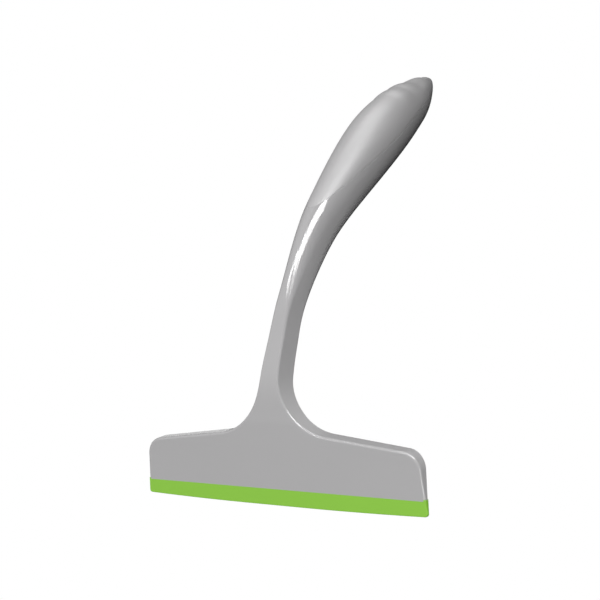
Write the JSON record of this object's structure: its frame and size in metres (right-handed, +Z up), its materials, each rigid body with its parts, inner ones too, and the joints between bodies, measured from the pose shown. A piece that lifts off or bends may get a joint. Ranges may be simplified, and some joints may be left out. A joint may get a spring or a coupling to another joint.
{
  "type": "kitchen squeegee",
  "caption": "Hand squeegee: a wide wedge head with a flexing rubber wiping lip along its lower edge, and a slim neck that sweeps back into a swelling hollow grip with a hang hole.",
  "frame": {"origin": "middle of the wiping edge, on the flat land of the rubber lip", "axes": "+X along the blade, +Y towards the back of the head, where the handle sweeps to, +Z up from the wiping edge; XZ is the blade's middle plane"},
  "size_m": [0.1596, 0.1618, 0.2191],
  "materials": {
    "body_grey": "glossy injection-moulded plastic, light grey",
    "cover_grey": "matt injection-moulded plastic, light grey",
    "clamp_grey": "satin injection-moulded plastic, light grey",
    "blade_green": "smooth matt soft rubber, lime green"
  },
  "bodies": {
    "handle": {"handle_body": "body_grey", "grip_cover": "cover_grey", "blade_clamp_plate": "clamp_grey", "blade_root": "blade_green"},
    "lip": {"blade_lip": "blade_green"}
  },
  "joints": [
    {"name": "lip_flex", "type": "hinge", "parent": "handle", "child": "lip", "pos_m": [0, 0, 0.005], "axis": [1, 0, 0], "range_deg": [-30, 30], "stiffness_Nm_per_rad": 0.14}
  ]
}
